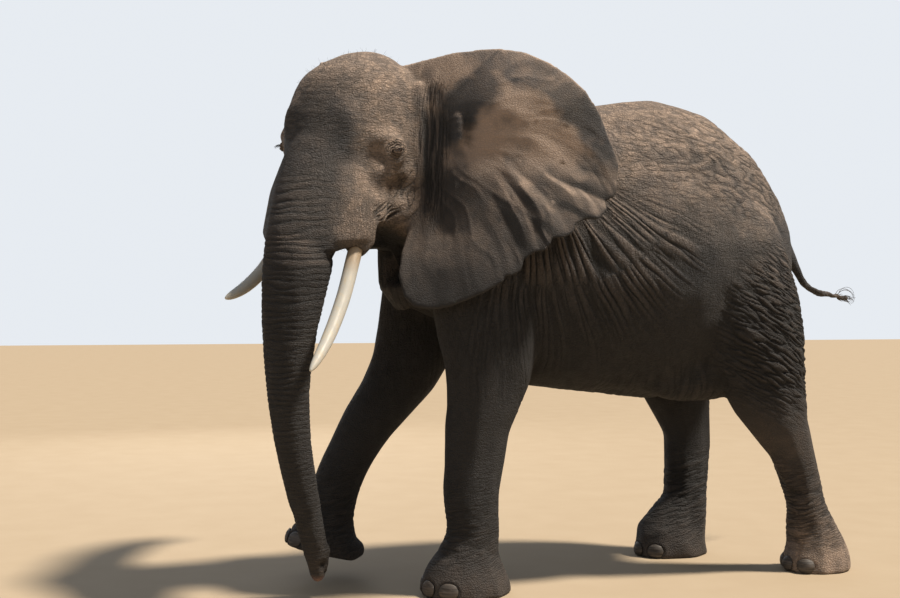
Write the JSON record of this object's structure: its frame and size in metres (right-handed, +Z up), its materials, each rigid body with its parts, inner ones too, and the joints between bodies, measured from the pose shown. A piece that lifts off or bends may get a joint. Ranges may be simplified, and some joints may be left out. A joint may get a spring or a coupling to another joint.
{
  "type": "african bush elephant",
  "caption": "Life-size still model of a young bull African bush elephant in mid stride, head turned to its left, ears spread, one fore foot raised and the trunk hanging.",
  "frame": {"origin": "middle of the bounding box's bottom, on the plane of the three standing soles", "axes": "+Z up, the elephant walks towards -Y and its left side is +X"},
  "size_m": [2.0648, 4.3434, 3.0849],
  "materials": {
    "hide": "dry, matt, cracked and wrinkled grey-brown skin with pale dust on the upper side",
    "ivory": "creamy ivory with a soft sheen, darker and stained towards the root",
    "nail": "worn, pale horn with grooves along the floor",
    "eye": "wet dark brown eye with a black pupil"
  },
  "bodies": {
    "root": {"ear_left": "hide", "ear_right": "hide", "eye_left": "eye", "eye_right": "eye", "fore_foot_left": "hide", "fore_foot_right": "hide", "fore_leg_lower_left": "hide", "fore_leg_lower_right": "hide", "fore_leg_upper_left": "hide", "fore_leg_upper_right": "hide", "head": "hide", "hind_foot_left": "hide", "hind_foot_right": "hide", "hind_leg_lower_left": "hide", "hind_leg_lower_right": "hide", "hind_leg_upper_left": "hide", "hind_leg_upper_right": "hide", "lower_jaw": "hide", "nail_fore_left_1": "nail", "nail_fore_left_2": "nail", "nail_fore_left_3": "nail", "nail_fore_left_4": "nail", "nail_fore_right_1": "nail", "nail_fore_right_2": "nail", "nail_fore_right_3": "nail", "nail_fore_right_4": "nail", "nail_hind_left_1": "nail", "nail_hind_left_2": "nail", "nail_hind_left_3": "nail", "nail_hind_right_1": "nail", "nail_hind_right_2": "nail", "nail_hind_right_3": "nail", "neck": "hide", "tail_tuft": "hide", "tail_upper": "hide", "torso": "hide", "trunk_lower": "hide", "trunk_middle": "hide", "trunk_tip": "hide", "trunk_upper": "hide", "tusk_left": "ivory", "tusk_right": "ivory"}
  },
  "joints": []
}
